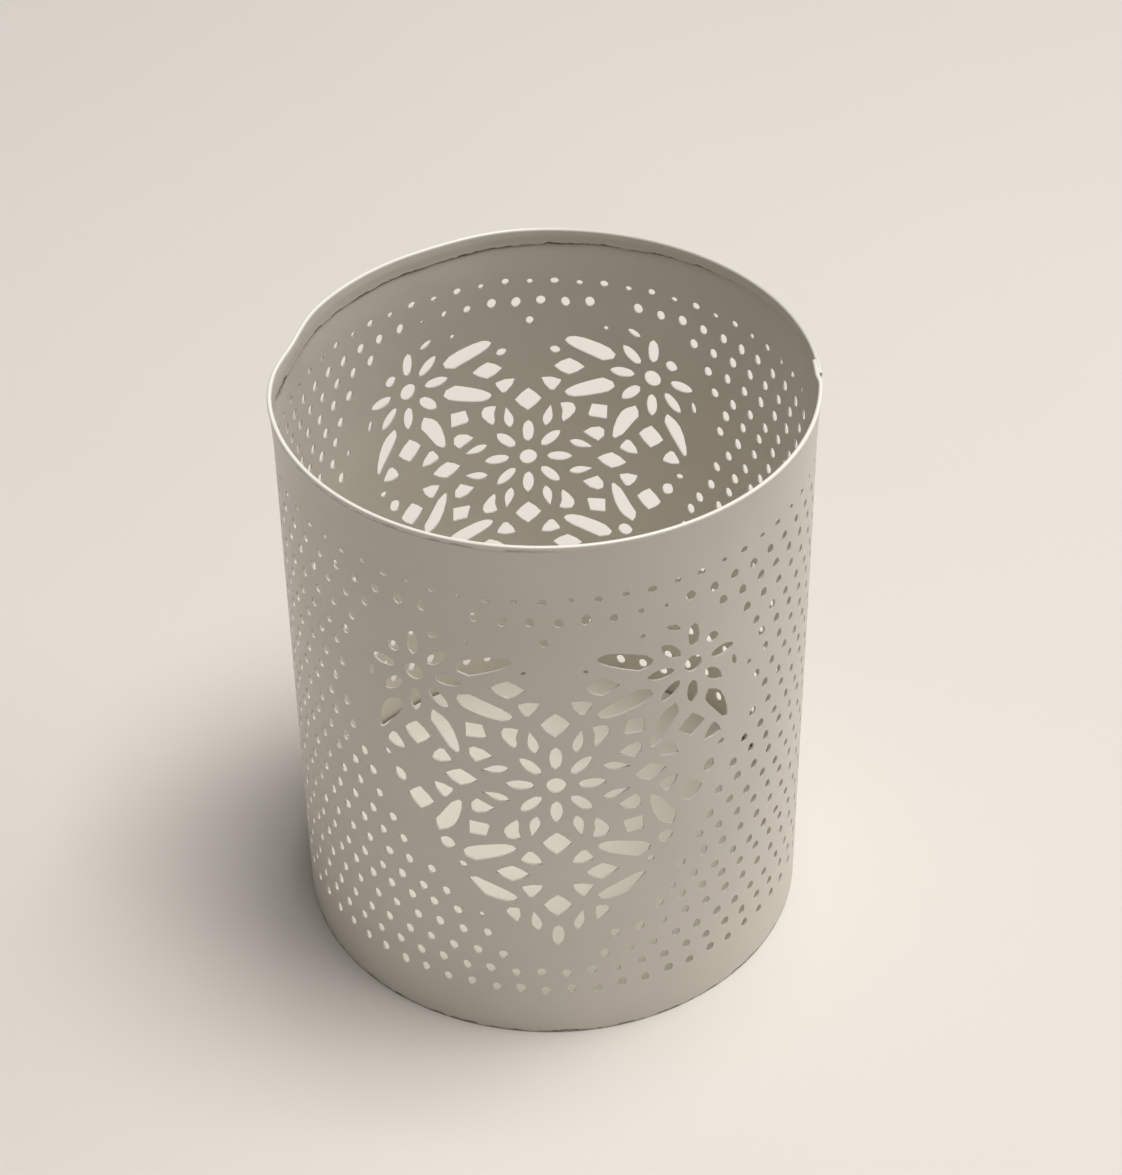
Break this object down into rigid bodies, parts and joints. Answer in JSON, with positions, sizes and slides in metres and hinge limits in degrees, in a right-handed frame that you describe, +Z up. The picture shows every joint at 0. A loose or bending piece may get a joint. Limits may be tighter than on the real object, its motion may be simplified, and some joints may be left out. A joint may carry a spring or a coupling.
{
  "type": "candle holder",
  "caption": "Round sheet-metal candle holder: open-topped sleeve pierced with dots and hearts of cut lace, folded rim, and a raised floor pan inside.",
  "frame": {"origin": "middle of the foot circle, on the surface that the holder stands on", "axes": "+Z up along the sleeve, -Y out through the middle of the front heart, the lapped seam near +X"},
  "size_m": [0.0838, 0.0838, 0.1],
  "materials": {
    "sleeve_paint": "matt cream paint",
    "pan_paint": "matt cream paint"
  },
  "bodies": {
    "root": {"sleeve": "sleeve_paint", "floor_pan": "pan_paint"}
  },
  "joints": []
}
